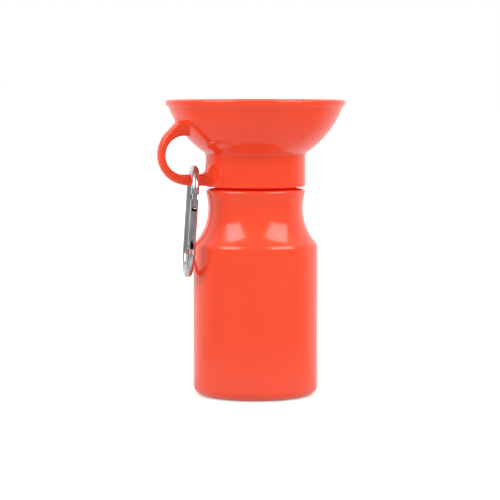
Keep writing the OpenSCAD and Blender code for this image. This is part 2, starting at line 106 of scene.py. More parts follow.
class BottleSizes(bpy.types.PropertyGroup):
    """Sizes of the squeeze bottle and its neck."""

    body_r: length("Body radius", BOTTLE_HIGH.x / MM, "Radius of the body")
    waist_r: length("Waist radius", 29.3, "Radius at the waist's narrowest point")
    waist_z: length("Waist height", 116.2, "Height of the waist's narrowest point")
    waist_arc_r: length("Waist curve", 32, "Radius of the hollow curve of the waist")
    shoulder_r: length("Shoulder rounding", 5, "Radius of the shoulder's rounding")
    top_z: length("Top height", 128.0, "Height of the top's outer edge")
    top_edge_r: length("Top edge", 1.8, "Rounding of the top edge")
    top_slope: angle("Top slope", 8, "Rise of the top towards the neck")
    base_edge_r: length("Base edge", 6.5, "Rounding of the base edge")
    wall: length("Wall", 1.6, "Thickness of the squeezable wall")
    push_up: length("Push-up", 2.5, "Rise of the push-up in the base")
    push_up_r: length("Push-up radius", 26.5, "Radius of the push-up")
    neck_r: length("Neck radius", 24.4, "Outer radius of the neck under its threads")
    neck_wall: length("Neck wall", 2.1, "Wall of the neck")
    rim_z: length("Rim height", NECK_HIGH.z / MM, "Height of the neck's rim")
    thread_h: length("Thread height", 1.1, "Height of the thread's ridges")
    thread_pitch: length("Thread pitch", 3, "Distance between neighbouring ridges")
    thread_w: length("Thread width", 1.5, "Width of a ridge at its foot")
    seam_h: length("Seam", 0.05, "Height of the seam that the two mould halves leave")


class BowlSizes(bpy.types.PropertyGroup):
    """Sizes of the drinking bowl and its collar."""

    bowl_r: length("Bowl radius", 57.3, "Radius of the round bowl, outside")
    centre_rise: length("Centre above rim", 15, "Height of the bowl's centre above its rim")
    wall: length("Wall", 1.8, "Wall of the bowl")
    floor_z: length("Floor height", 152.6, "Height of the bowl's floor")
    floor_t: length("Floor", 2, "Thickness of the bowl's floor")
    floor_blend_r: length("Floor blend", 8, "Rounding between floor and wall")
    rim_r: length("Rim radius", BOWL_HIGH.x / MM, "Outer radius of the rim's lip")
    rim_z: length("Rim height", BOWL_HIGH.z / MM, "Height of the rim")
    lip_h: length("Lip height", 5, "Height of the lip with its flare")
    collar_r: length("Collar radius", 31, "Outer radius of the collar")
    collar_z: length("Collar foot", BOWL_LOW.z / MM, "Height of the collar's lower edge")
    collar_blend_r: length("Collar blend", 3, "Blend between collar and bowl")
    skirt_wall: length("Skirt", 1.6, "Wall of the collar's outer skirt")
    sleeve_wall: length("Sleeve", 2, "Wall of the threaded sleeve")
    thread_room: length("Thread room", 1.4, "Radial room for the threads inside the collar")
    slot_ring_r: length("Slot ring", 17, "Radius of the ring of slots in the floor")
    slot_w: length("Slot width", 3.6, "Width of a slot")
    slot_count: bpy.props.IntProperty(name="Slots", description="Number of slots", default=6, min=3)


class LoopSizes(bpy.types.PropertyGroup):
    """Sizes of the carry loop."""

    width: length("Width", 9, "Width of the strap")
    reach: length("Reach", -LOOP_LOW.x / MM, "Outermost reach from the axis")
    out_r: length("Outer curve", 18.9, "Radius of the outer curve")
    hole_r: length("Hole", 11.8, "Radius of the hole")
    strap_t: length("Strap", 4.25, "Thickness of the strap where it reaches furthest")
    bar_t: length("Bar", 6.85, "Thickness of the bar that the clip hangs on")
    edge_r: length("Edge", 2, "Rounding of the strap's edges")
    inner_edge_r: length("Inner edge", 1.2, "Rounding of the edges at the hole")
    crown_w: length("Crown", 4.3, "Half width of the rounding of the strap's outer side")
    crown_t: length("Crown depth", 2.9, "Depth of that rounding")
    gusset_r: length("Gusset", 5.6, "Radius of the gusset between bar and collar")
    root_flare: length("Flare", 0.7, "Flare of the strap's width at its roots")
    fillet_r: length("Fillet", 1.8, "Rounding where the strap meets the bowl")


class Finish(bpy.types.PropertyGroup):
    """Colours of the object's materials."""

    bottle: colour("Bottle", 254, 77, 40, "Soft glossy plastic of the bottle")
    bowl: colour("Bowl", 253, 75, 40, "Hard glossy plastic of the bowl and its loop")
    seal: colour("Seals", 214, 212, 206, "Silicone of the seals")
    tube: colour("Dip tube", 232, 234, 232, "Milky plastic of the dip tube")
    # Painted shade: this deeper red stands in for the saturated shade in the narrow gap under the
    # collar
    neck: colour("Neck", 252, 42, 28, "Deeper red of the neck and of the flat top under the collar")
    clip: colour("Clip", 208, 205, 208, "Blasted aluminium of the clip")
    pin: colour("Pins", 84, 83, 86, "Steel of the clip's pins and spring")


class Studio(bpy.types.PropertyGroup):
    """The camera and the lights."""

    distance: length("Camera distance", 1360, "Distance of the camera from the bottle's axis")
    height: length("Camera height", 192.5, "Height of the camera above the floor")
    aim_z: length("Aim height", 90, "Height of the point that the camera looks at")
    aim_left: length("Aim to the left", 3.4, "Distance of that point to the left of the axis")
    azimuth: angle("Azimuth", -18, "Direction of the camera, 0 from -Y")
    lens: bpy.props.FloatProperty(
        name="Lens", description="Focal length", default=158.4, min=1.0, unit="CAMERA"
    )


# ---- Lines and grids


def arc(centre, radius, start, end, steps):
    """Points of a circle: centre + radius times (cos t, sin t), t from start to end degrees."""
    t = np.radians(np.linspace(start, end, steps + 1))
    return np.column_stack((centre[0] + radius * np.cos(t), centre[1] + radius * np.sin(t)))


def joined(*runs, step=None):
    """Runs of points end to end, without doubled ones, and with no stretch longer than step."""
    path = np.vstack([np.atleast_2d(np.asarray(run, float)) for run in runs])
    path = path[np.r_[True, np.linalg.norm(np.diff(path, axis=0), axis=1) > 1e-7]]
    if step is None:
        return path
    counts = np.ceil(np.linalg.norm(np.diff(path, axis=0), axis=1) / step - 1e-6).astype(int)
    stretch = np.repeat(np.arange(len(counts)), counts)
    share = (np.arange(counts.sum()) - (np.cumsum(counts) - counts)[stretch]) / counts[stretch]
    filled = path[stretch] + share[:, None] * (path[stretch + 1] - path[stretch])
    return np.vstack((filled, path[-1:]))


def rounded(corners, steps=5):
    """A bent line with rounded corners, each corner being r, z and radius.

    The line is left radius * tan(turn / 2) before a corner, and an arc of that radius leads round.
    """
    corners = np.array(corners, float)
    runs = [corners[:1, :2]]
    for before, here, after in zip(corners[:-2], corners[1:-1], corners[2:]):
        came = (here - before)[:2] / np.linalg.norm((here - before)[:2])
        goes = (after - here)[:2] / np.linalg.norm((after - here)[:2])
        turn = math.atan2(came[0] * goes[1] - came[1] * goes[0], came @ goes)
        radius = here[2]
        leave = here[:2] - came * radius * math.tan(abs(turn) / 2)
        centre = leave + math.copysign(radius, turn) * np.array((-came[1], came[0]))
        start = math.degrees(math.atan2(leave[1] - centre[1], leave[0] - centre[0]))
        bend = arc(centre, radius, start, start + math.degrees(turn), steps)
        runs.append(bend if radius else here[None, :2])
    return np.vstack([*runs, corners[-1:, :2]])


def lathe(profile, angles, swell, shift=None):
    """A profile of r and z turned about the Z axis: x = r cos t, y = r sin t.

    swell(t, r, z) is added to r, and shift(t, r, z) to the angle t.
    """
    r, z, t = profile[:, :1], profile[:, 1:], np.asarray(angles)[None, :]
    radius = r + swell(t, r, z)
    turn = t + (shift(t, r, z) if shift else 0 * r)
    return np.stack((radius * np.cos(turn), radius * np.sin(turn), z + 0 * turn), axis=-1)


def quads(rows, columns):
    """Vertex numbers of a grid's faces, row by row, closed round its columns."""
    number = np.arange(rows * columns).reshape(rows, columns)
    number = np.hstack((number, number[:, :1]))
    return np.stack((number[:-1, :-1], number[:-1, 1:], number[1:, 1:], number[1:, :-1]), axis=-1)


def add_piece(name, points, faces, body, material, replaces):
    """Puts a grid's points and faces into a mesh that rides on a body and replaces CAD nodes.

    Points that coincide are merged, which closes the poles, and the faces are turned outwards if
    the volume they enclose comes out negative.
    """
    mesh = bpy.data.meshes.new(name)
    mesh.from_pydata(np.asarray(points).reshape(-1, 3).tolist(), [], [list(face) for face in faces])
    shell = bmesh.new()
    shell.from_mesh(mesh)
    bmesh.ops.remove_doubles(shell, verts=shell.verts, dist=SAME)
    if shell.calc_volume(signed=True) < 0:
        bmesh.ops.reverse_faces(shell, faces=shell.faces)
    shell.to_mesh(mesh)
    shell.free()
    mesh.polygons.foreach_set("use_smooth", np.ones(len(mesh.polygons), bool))
    mesh.set_sharp_from_angle(angle=math.radians(CREASE))
    mesh.materials.append(material)
    piece = bpy.data.objects.new(name, mesh)
    bpy.context.scene.collection.objects.link(piece)
    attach(piece, body)
    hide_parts(*replaces)
    return piece


def finish_node(name, material):
    """Gives a CAD node that keeps its shape a finer material."""
    for place in frame["nodes"][name].material_slots:
        place.material = material


def ridges(t, z, sizes, low, high, shift=0.0):
    """Height of a two-start right-hand thread at angle t and height z.

    A ridge's middle climbs two pitches a turn. Its sides slope over a quarter of its width, and it
    fades in and out over its first and last 0.8 mm of climb.
    """
    pitch = sizes.thread_pitch
    across = (((z - shift) / pitch - t / np.pi) % 1.0 - 0.5) * pitch
    side = np.clip((sizes.thread_w / 2 - np.abs(across)) / (sizes.thread_w / 4), 0, 1)
    middle = z - across
    run_out = 0.8 * MM
    fade = np.clip((middle - low) / run_out, 0, 1) * np.clip((high - middle) / run_out, 0, 1)
    smooth = lambda x: x * x * (3 - 2 * x)
    return sizes.thread_h * smooth(side) * smooth(fade)


# ---- Materials


def map_range(node, low, high, start, end):
    """Has a map range node bring the range start to end to the range low to high."""
    ends = {"From Min": start, "From Max": end, "To Min": low, "To Max": high}
    for key, number in ends.items():
        node.inputs[key].default_value = number


def tone(rgb, gain):
    """A colour made lighter or darker, with its alpha."""
    return (*(min(1.0, part * gain) for part in rgb), 1.0)


class Recipe:
    """A material under construction: its node tree, and short ways to add and join nodes."""

    def __init__(self, name):
        self.material = bpy.data.materials.new(name)
        self.material.use_nodes = True
        self.tree = self.material.node_tree
        self.shader = self.tree.nodes["Principled BSDF"]
        self.place = self.tree.nodes.new("ShaderNodeTexCoord").outputs["Object"]

    def node(self, kind, settings=(), **inputs):
        """Adds a node, sets its properties from settings and its inputs by value or by link."""
        made = self.tree.nodes.new(kind)
        for key, value in dict(settings).items():
            setattr(made, key, value)
        for key, value in inputs.items():
            self.put(made.inputs[key.replace("_", " ")], value)
        return made

    def put(self, socket, value):
        """Links a socket to another one, or sets its value."""
        if isinstance(value, bpy.types.NodeSocket):
            self.tree.links.new(value, socket)
        else:
            socket.default_value = value

    def noise(self, scale, detail=3.0, stretch=(1, 1, 1)):
        """Noise of so many grains per metre in object space, from 0 to 1."""
        spread = self.node("ShaderNodeMapping", Vector=self.place, Scale=stretch)
        made = self.node("ShaderNodeTexNoise", Vector=spread.outputs[0], Scale=scale, Detail=detail)
        return made.outputs["Fac"]

    def span(self, value, low, high, start=0.3, end=0.7):
        """Value brought from the range start to end to the range low to high."""
        made = self.node("ShaderNodeMapRange", Value=value)
        map_range(made, low, high, start, end)
        return made.outputs["Result"]

    def blend(self, share, first, second):
        """A colour between first and second."""
        made = self.node("ShaderNodeMix", {"data_type": "RGBA"})
        self.put(made.inputs["Factor"], share)
        self.put(made.inputs[6], first)
        self.put(made.inputs[7], second)
        return made.outputs[2]

    def mottle(self, share, rgb, dark, light):
        """A colour between a darker and a lighter tone of itself."""
        return self.blend(share, tone(rgb, dark), tone(rgb, light))

    def bump(self, height, strength, distance, **inputs):
        """The normal of a surface that is raised by up to a distance."""
        inputs.update(Height=height, Strength=strength, Distance=distance)
        return self.node("ShaderNodeBump", **inputs).outputs[0]

    def sum(self, kind, first, second):
        """Arithmetic of two values."""
        made = self.node("ShaderNodeMath", {"operation": kind})
        self.put(made.inputs[0], first)
        self.put(made.inputs[1], second)
        return made.outputs[0]

    def vector(self, kind, *values):
        """Arithmetic of vectors."""
        made = self.node("ShaderNodeVectorMath", {"operation": kind})
        for socket, value in zip(made.inputs, values):
            self.put(socket, value)
        return made

    def finish(self, **inputs):
        """Sets the shader's inputs and gives the material."""
        for key, value in inputs.items():
            self.put(self.shader.inputs[key.replace("_", " ")], value)
        return self.material


def soft_red_plastic(finish):
    """Blow-moulded soft plastic: faint flow bands, a slight orange peel and scuffs on the foot."""
    made = Recipe("soft_red_plastic")
    flow = made.span(made.noise(28, 3, (1, 1, 0.45)), 0.0, 1.0)
    peel = made.noise(420, 2)
    grain = made.noise(2600, 2)
    height = made.node("ShaderNodeSeparateXYZ", Vector=made.place).outputs["Z"]
    foot = made.span(height, 1.0, 0.0, 0.2 * MM, 1.2 * MM)
    scuff = made.sum("MULTIPLY", foot, made.span(made.noise(220, 5), 0.0, 1.0, 0.42, 0.7))
    body = made.mottle(flow, finish.bottle, 0.965, 1.03)
    gloss = made.span(made.noise(60, 4), 0.15, 0.2)
    coarse = made.bump(peel, 0.22, 0.04 * MM)
    return made.finish(
        Base_Color=made.blend(made.sum("MULTIPLY", scuff, 0.22), body, (0.9, 0.42, 0.34, 1.0)),
        Roughness=made.sum("ADD", gloss, made.sum("MULTIPLY", scuff, 0.3)),
        Normal=made.bump(grain, 0.12, 0.01 * MM, Normal=coarse),
        IOR=1.5,
        Specular_IOR_Level=0.66,
    )


def neck_plastic_painted_glow(finish):
    """Thick moulded neck and flat top: a deeper, duller red than the body's, which paints the shade
    in the gap under the collar, and a faint red emission, a painted glow in place of light coming
    through the plastic.
    """
    made = Recipe("neck_plastic_painted_glow")
    return made.finish(
        Base_Color=made.mottle(made.noise(60, 3), finish.neck, 0.95, 1.05),
        Roughness=made.span(made.noise(90, 3), 0.4, 0.5),
        Specular_IOR_Level=0.2,
        # Painted glow: the neck and the flat top emit a faint red, as if light came through the
        # plastic
        Emission_Color=(1.0, 0.012, 0.016, 1.0),
        Emission_Strength=0.14,
        Normal=made.bump(made.noise(500, 2), 0.2, 0.03 * MM),
    )


def hard_red_plastic(finish):
    """Injection-moulded plastic: glossy, with long faint flow marks and dust-fine scratches."""
    made = Recipe("hard_red_plastic")
    flow = made.span(made.noise(34, 2, (1, 1, 1.6)), 0.0, 1.0)
    scratch = made.span(made.noise(900, 2, (1, 0.08, 1)), 0.0, 1.0, 0.62, 0.72)
    gloss = made.span(made.noise(75, 4), 0.06, 0.1)
    return made.finish(
        Base_Color=made.mottle(flow, finish.bowl, 0.97, 1.03),
        Roughness=made.sum("ADD", gloss, made.sum("MULTIPLY", scratch, 0.08)),
        Normal=made.bump(made.noise(300, 1), 0.16, 0.04 * MM),
        IOR=1.5,
    )


def seal_silicone(finish):
    """Milky silicone: dull, slightly mottled, with a soft glow."""
    made = Recipe("seal_silicone_look")
    cloud = made.span(made.noise(260, 3), 0.0, 1.0)
    return made.finish(
        Base_Color=made.mottle(cloud, finish.seal, 0.94, 1.03),
        Roughness=made.span(made.noise(500, 3), 0.42, 0.55),
        Normal=made.bump(made.noise(2200, 2), 0.25, 0.02 * MM),
        IOR=1.43,
    )


def tube_plastic(finish):
    """Extruded milky tube: fine lengthwise draw lines."""
    made = Recipe("tube_plastic_look")
    lines = made.noise(1800, 2, (1, 1, 0.02))
    return made.finish(
        Base_Color=made.mottle(made.span(lines, 0.0, 1.0), finish.tube, 0.95, 1.03),
        Roughness=made.span(made.noise(300, 3), 0.24, 0.36),
        Normal=made.bump(lines, 0.3, 0.02 * MM),
        IOR=1.5,
    )


def aluminium(name, finish, painted_slot_shade):
    """Blasted and anodised aluminium: a fine grain, with faint brighter rubs.

    The third argument gives, for a recipe, the share of a near-black colour: painted shade inside the
    gate, where the slots and the fork lie in shadow.
    """
    made = Recipe(name)
    grain = made.noise(3600, 3)
    rub = made.span(made.noise(300, 4, (1, 1, 0.25)), 0.0, 1.0, 0.4, 0.62)
    skin = made.mottle(rub, finish.clip, 0.84, 1.18)
    return made.finish(
        # Painted shade: near-black inside the gate's slots and on the tang in its fork
        Base_Color=made.blend(painted_slot_shade(made), skin, (0.012, 0.011, 0.012, 1.0)),
        Roughness=made.sum("SUBTRACT", made.span(grain, 0.2, 0.3), made.sum("MULTIPLY", rub, 0.08)),
        Normal=made.bump(grain, 0.35, 0.02 * MM),
        Metallic=0.95,
    )


def painted_shade_inside_gate(reach):
    """Share of painted shade inside the gate's skin, up to a reach from its rivet: the slots and the
    fork are coloured near-black in place of their shadow.

    The distance from the gate's axis is the length of (place - rivet) crossed with its direction.
    """
    joints = {joint["name"]: joint for joint in frame["record"]["behaviour"]["joints"]}
    bore_r, skin_r, fade = 2.1 * MM, 2.3 * MM, 0.5 * MM

    def share(made):
        """1 inside the gate, 0 on its skin and beyond the reach."""
        off = made.vector("SUBTRACT", made.place, joints["gate_turn"]["pos_m"]).outputs[0]
        turned = made.vector("CROSS_PRODUCT", off, joints["plunger_push"]["axis"]).outputs[0]
        radius, run = (made.vector("LENGTH", line).outputs["Value"] for line in (turned, off))
        inside = made.span(radius, 1.0, 0.0, bore_r, skin_r)
        return made.sum("MULTIPLY", inside, made.span(run, 1.0, 0.0, reach, reach + fade))

    return share


def clip_aluminium(finish):
    """Aluminium of the clip's body, with painted shade on the tang inside the gate's fork."""
    return aluminium("clip_aluminium_look", finish, painted_shade_inside_gate(2.3 * MM))


def gate_aluminium(finish):
    """Aluminium of the gate, with painted shade in its slots."""
    return aluminium("gate_aluminium_look", finish, painted_shade_inside_gate(40 * MM))


def pin_steel(finish):
    """Turned stainless steel: fine rings of cutting marks."""
    made = Recipe("pin_steel_look")
    lines = made.noise(5200, 2, (1, 1, 0.2))
    return made.finish(
        Base_Color=made.mottle(made.span(lines, 0.0, 1.0), finish.pin, 0.9, 1.1),
        Roughness=made.span(made.noise(900, 3), 0.32, 0.44),
        Normal=made.bump(lines, 0.3, 0.01 * MM),
        Metallic=1.0,
    )


def shared(maker):
    """The material that maker makes, made once."""
    name = maker.__name__ + "_made"
    if name not in bpy.data.materials:
        maker(bpy.context.scene.water_bottle_finish).name = name
    return bpy.data.materials[name]


# ---- Shapes


def bottle_skins(s):
    """Outside and inside outlines of the bottle, from the axis at the base up to the neck's rim.

    Shoulder and waist are circles that touch: the distance of their centres is the sum of their
    radii. The inside follows the outside at the wall's thickness.
    """
    waist = (s.waist_r + s.waist_arc_r, s.waist_z)
    dx = waist[0] - s.body_r + s.shoulder_r
    dz = math.sqrt((s.shoulder_r + s.waist_arc_r) ** 2 - dx**2)
    shoulder = (s.body_r - s.shoulder_r, s.waist_z - dz)
    turn = math.degrees(math.atan2(dz, dx))
    edge_arc_r = s.waist_arc_r + s.top_edge_r
    flare = math.degrees(math.asin((s.top_z - s.waist_z - s.top_edge_r) / edge_arc_r))
    inner_flare = math.degrees(math.asin((s.top_z - s.wall - s.waist_z) / (s.waist_arc_r + s.wall)))
    edge = (waist[0] - edge_arc_r * math.cos(math.radians(flare)), s.top_z - s.top_edge_r)
    base = (s.body_r - s.base_edge_r, s.base_edge_r)
    slope = math.degrees(s.top_slope)
    rise = arc(edge, s.top_edge_r, 90 - slope, 90 - slope, 0)[0]
    dome = (s.push_up_r**2 + s.push_up**2) / (2 * s.push_up)
    dome_turn = math.degrees(math.asin(s.push_up_r / dome))
    root, lip, bore = 0.8 * MM, 0.5 * MM, s.neck_r - s.neck_wall
    # The root's centre lies its radius above the sloping top and beside the neck
    lift = (root - (s.neck_r + root - rise[0]) * math.sin(s.top_slope)) / math.cos(s.top_slope)
    root_c = (s.neck_r + root, rise[1] + lift)
    # The push-up stops just short of its edge and leads softly to the ring that the base stands on
    soft_r, soft_w = 6 * MM, 0.6 * MM
    outside = joined(
        arc((0, s.push_up - dome), dome, 90, 90.9 - dome_turn, 20),
        arc((s.push_up_r + soft_w, -soft_r), soft_r, 90.1, 90, 2),
        arc(base, s.base_edge_r, -90, 0, 28),
        arc(shoulder, s.shoulder_r, 0, turn, 24),
        arc(waist, s.waist_arc_r, 180 + turn, 180 - flare, 56),
        arc(edge, s.top_edge_r, -flare, 90 - slope, 16),
        arc(root_c, root, 270 - slope, 180, 6),
        joined((s.neck_r, root_c[1]), (s.neck_r, s.rim_z - lip), step=0.2 * MM),
        arc((s.neck_r - lip, s.rim_z - lip), lip, 0, 90, 6),
        arc((bore + lip / 2, s.rim_z - lip / 2), lip / 2, 90, 180, 4),
    )
    inside = joined(
        arc((0, s.push_up + s.wall - dome), dome, 90, 90 - dome_turn, 16),
        arc(base, s.base_edge_r - s.wall, -90, 0, 20),
        arc(shoulder, s.shoulder_r - s.wall, 0, turn, 20),
        arc(waist, s.waist_arc_r + s.wall, 180 + turn, 180 - inner_flare, 40),
        (bore, s.top_z - s.wall),
        (bore, s.rim_z - lip),
    )
    return outside, inside


class WATERBOTTLE_OT_bottle(bpy.types.Operator):
    """Squeeze bottle: a turned shell with threads on its neck and the seam of its mould"""

    bl_idname = "water_bottle.bottle"
    bl_label = "Bottle"

    def execute(self, context):
        s = context.scene.water_bottle_bottle
        columns, seam_w = 220, 0.16 * MM
        thread_low, thread_top = 129.0 * MM, 140.6 * MM
        outside, inside = bottle_skins(s)
        profile = joined(outside, inside[::-1])
        # Columns close together carry the seam, and no even ones lie beside it
        beside = np.array([-0.5, -0.3, -0.2, -0.1, 0, 0.1, 0.2, 0.3, 0.5]) * MM / s.body_r
        strip = 0.02
        even = np.linspace(0, 2 * np.pi, columns, endpoint=False)

        def off_seam(t):
            """Angle from the nearer of the two parting lines."""
            return np.abs((t - SEAM_AT + np.pi / 2) % np.pi - np.pi / 2)

        lines = (SEAM_AT + beside, SEAM_AT + np.pi + beside)
        angles = np.sort(np.concatenate((even[off_seam(even) > strip], *lines)) % (2 * np.pi))
        outer_rows = (np.arange(len(profile)) < len(outside))[:, None]

        def swell(t, r, z):
            """Threads on the neck, and on the body a seam shaped like a bell curve."""
            neck = outer_rows & (np.abs(r - s.neck_r) < SAME)
            body = outer_rows & (r > s.waist_r - 0.1 * MM)
            thread = ridges(t, z, s, thread_low, thread_top) * neck
            return thread + s.seam_h * np.exp(-((off_seam(t) * r / seam_w) ** 2)) * body

        points = lathe(profile, angles, swell)
        faces = quads(*points.shape[:2]).reshape(-1, 4)
        piece = add_piece(
            "bottle_shell", points, faces, "bottle",
            shared(soft_red_plastic), ["bottle", "bottle_neck"],
        )
        # The neck and the flat top take the second material, whose deeper red and faint glow are
        # painted shade and painted light for the gap under the collar
        piece.data.materials.append(shared(neck_plastic_painted_glow))
        middle = np.empty(len(piece.data.polygons) * 3)
        piece.data.polygons.foreach_get("center", middle)
        x, y, z = middle.reshape(-1, 3).T
        neck = (np.hypot(x, y) < s.waist_r) & (z > s.top_z - 0.2 * MM)
        piece.data.polygons.foreach_set("material_index", neck.astype(np.int32))
        return {"FINISHED"}


def bowl_skin(s):
    """Outline of the bowl's outside from the collar's foot up to the rim's top."""
    centre = (0, s.rim_z + s.centre_rise)
    blend_x = s.collar_r + s.collar_blend_r
    blend = (blend_x, centre[1] - math.sqrt((s.bowl_r + s.collar_blend_r) ** 2 - blend_x**2))
    blend_turn = math.degrees(math.atan2(centre[1] - blend[1], blend_x))
    lip_turn = math.degrees(math.asin((s.centre_rise + s.lip_h) / s.bowl_r))
    foot, low, rim = 0.5 * MM, 1.2 * MM, 1.4 * MM
    return joined(
        arc((s.collar_r - foot, s.collar_z + foot), foot, -90, 0, 6),
        arc(blend, s.collar_blend_r, 180, 180 - blend_turn, 12),
        arc(centre, s.bowl_r, -blend_turn, -lip_turn, 56),
        arc((s.rim_r - low, s.rim_z - 2.4 * MM), low, -45, 0, 6),
        arc((s.rim_r - rim, s.rim_z - rim), rim, 0, 90, 14),
    )


class WATERBOTTLE_OT_bowl(bpy.types.Operator):
    """Drinking bowl: a turned shell with a rolled rim, a slotted floor and a threaded collar"""

    bl_idname = "water_bottle.bowl"
    bl_label = "Bowl"

    def execute(self, context):
        s, b = context.scene.water_bottle_bowl, context.scene.water_bottle_bottle
        centre = (0, s.rim_z + s.centre_rise)
        cavity = s.bowl_r - s.wall
        under = s.floor_z - s.floor_t
        mouth, steps, columns = 0.6 * MM, 8, 240
        mouth_turn = math.asin((s.centre_rise + mouth) / (cavity + mouth))
        mouth_c = ((cavity + mouth) * math.cos(mouth_turn), s.rim_z - mouth)
        rise, reach = centre[1] - s.floor_z - s.floor_blend_r, cavity - s.floor_blend_r
        floor_c = (math.sqrt(reach**2 - rise**2), s.floor_z + s.floor_blend_r)
        floor_turn = math.degrees(math.atan2(rise, floor_c[0]))
        half = s.slot_w / 2
        round_end = np.linspace(0, np.pi, steps + 1)
        ring = s.slot_ring_r - half * np.cos(round_end)
        bore = b.neck_r + s.thread_room
        sleeve, core = bore + s.sleeve_wall, s.collar_r - s.skirt_wall
        groove, chamber = b.neck_r + 2.25 * MM, b.neck_r + 0.8 * MM
        seal_low, seal_top = b.rim_z - 3.85 * MM, b.rim_z - 0.95 * MM
        top = joined(
            (0, s.floor_z),
            np.column_stack((ring, np.full_like(ring, s.floor_z))),
            arc(floor_c, s.floor_blend_r, -90, -floor_turn, 16),
            arc(centre, cavity, -floor_turn, -math.degrees(mouth_turn), 56),
            arc(mouth_c, mouth, 180 - math.degrees(mouth_turn), 90, 8),
        )
        inner = rounded([
            (s.collar_r - 0.5 * MM, s.collar_z, 0),
            (core, s.collar_z, 0.3 * MM),
            (core, under, 0.6 * MM),
            (sleeve, under, 0.6 * MM),
            (sleeve, s.collar_z, 0.4 * MM),
            (bore + 1 * MM, s.collar_z, 0.2 * MM),
            (bore, s.collar_z + 1 * MM, 0.3 * MM),
            (bore, seal_low, 0),
            (groove, seal_low, 0.1 * MM),
            (groove, seal_top, 0.1 * MM),
            (chamber, seal_top, 0.2 * MM),
            (chamber, under, 0.6 * MM),
            (ring[-1] + 1 * MM, under, 0),
        ])
        # Only the bore, which carries the threads, needs a fine mesh
        first = int(np.argmax(np.abs(inner[:, 0] - bore) < SAME))
        bore_line = joined(inner[first : first + 2], step=0.25 * MM)
        walls = joined(inner[:first], bore_line, inner[first + 2 :])
        bottom = np.column_stack((ring[::-1], np.full_like(ring, under)))
        profile = joined(top, bowl_skin(s)[::-1], walls, bottom, (0, under))
        angles = np.linspace(0, 2 * np.pi, columns, endpoint=False)
        # Columns of one slot and the bridge beside it, and the slot's own first and last one
        share = columns // s.slot_count
        first, last = round(share * 0.1), round(share * 0.45)
        place = np.arange(columns) % share

        def swell(t, r, z):
            """Threads that stand inwards on the sleeve's bore, half a pitch off the neck's."""
            thread = ridges(t, z, b, s.collar_z + 1.3 * MM, seal_low - 0.3 * MM, b.thread_pitch / 2)
            return -thread * ((np.abs(r - bore) < SAME) & (z > s.collar_z + 0.01 * MM))

        def shift(t, r, z):
            """Slot ends rounded: each border is moved by the half circle's share of its radius.

            The columns of the bridges between the slots are moved in proportion, and those inside
            a slot stay.
            """
            flat = (np.abs(z - s.floor_z) < SAME) | (np.abs(z - under) < SAME)
            inside = np.clip(half**2 - (r - s.slot_ring_r) ** 2, 0, None) * flat
            bridge = 1 - 2 * ((place - last) % share / (share - last + first))
            within = (place > first) & (place < last)
            part = np.select((place == first, place == last, within), (-1, 1, 0), bridge)
            return np.sqrt(inside) / np.maximum(r, MM) * part[None, :]

        points = lathe(profile, angles, swell, shift)
        faces = quads(len(profile), columns)
        upper = int(np.argmin(np.abs(profile[:, 0] - ring[0]) + np.abs(profile[:, 1] - s.floor_z)))
        lower = int(np.argmin(np.abs(profile[:, 0] - ring[-1]) + np.abs(profile[:, 1] - under)))
        cut = np.zeros(faces.shape[:2], bool)
        slot_columns = (place >= first) & (place < last)
        cut[upper : upper + steps, slot_columns] = True
        cut[lower : lower + steps, slot_columns] = True
        number = np.arange(len(profile) * columns).reshape(len(profile), columns)
        sides = []
        for k in range(s.slot_count):
            # Once round the slot's border, and a wall from the floor's top to its underside
            rows, cols = np.arange(steps + 1), k * share + np.arange(first, last + 1)
            row = np.concatenate((rows, np.full_like(cols, steps), rows[::-1], np.zeros_like(cols)))
            start, end = np.full_like(rows, cols[0]), np.full_like(rows, cols[-1])
            col = np.concatenate((start, cols, end, cols[::-1]))
            above, below = number[upper + row, col], number[lower + steps - row, col]
            keep = np.r_[True, above[1:] != above[:-1]]
            above, below = above[keep], below[keep]
            sides.append(np.column_stack((above[:-1], above[1:], below[1:], below[:-1])))
        add_piece(
            "bowl_shell", points, np.vstack((faces[~cut], *sides)), "bowl",
            shared(hard_red_plastic), ["bowl"],
        )
        return {"FINISHED"}


def skin_distance(points, skin):
    """Distance of points from a turned skin, and whether they are outside it.

    Each point's r and z are measured to the nearest place on each stretch of the skin's outline.
    """
    here = np.column_stack((np.hypot(points[:, 0], points[:, 1]), points[:, 2]))
    start, run = skin[:-1], np.diff(skin, axis=0)
    gap = here[:, None, :] - start[None, :, :]
    share = np.clip((gap * run).sum(-1) / (run * run).sum(-1), 0, 1)
    near = np.linalg.norm(gap - share[..., None] * run, axis=-1).min(axis=1)
    return near, here[:, 0] > np.interp(here[:, 1], skin[:, 1], skin[:, 0])


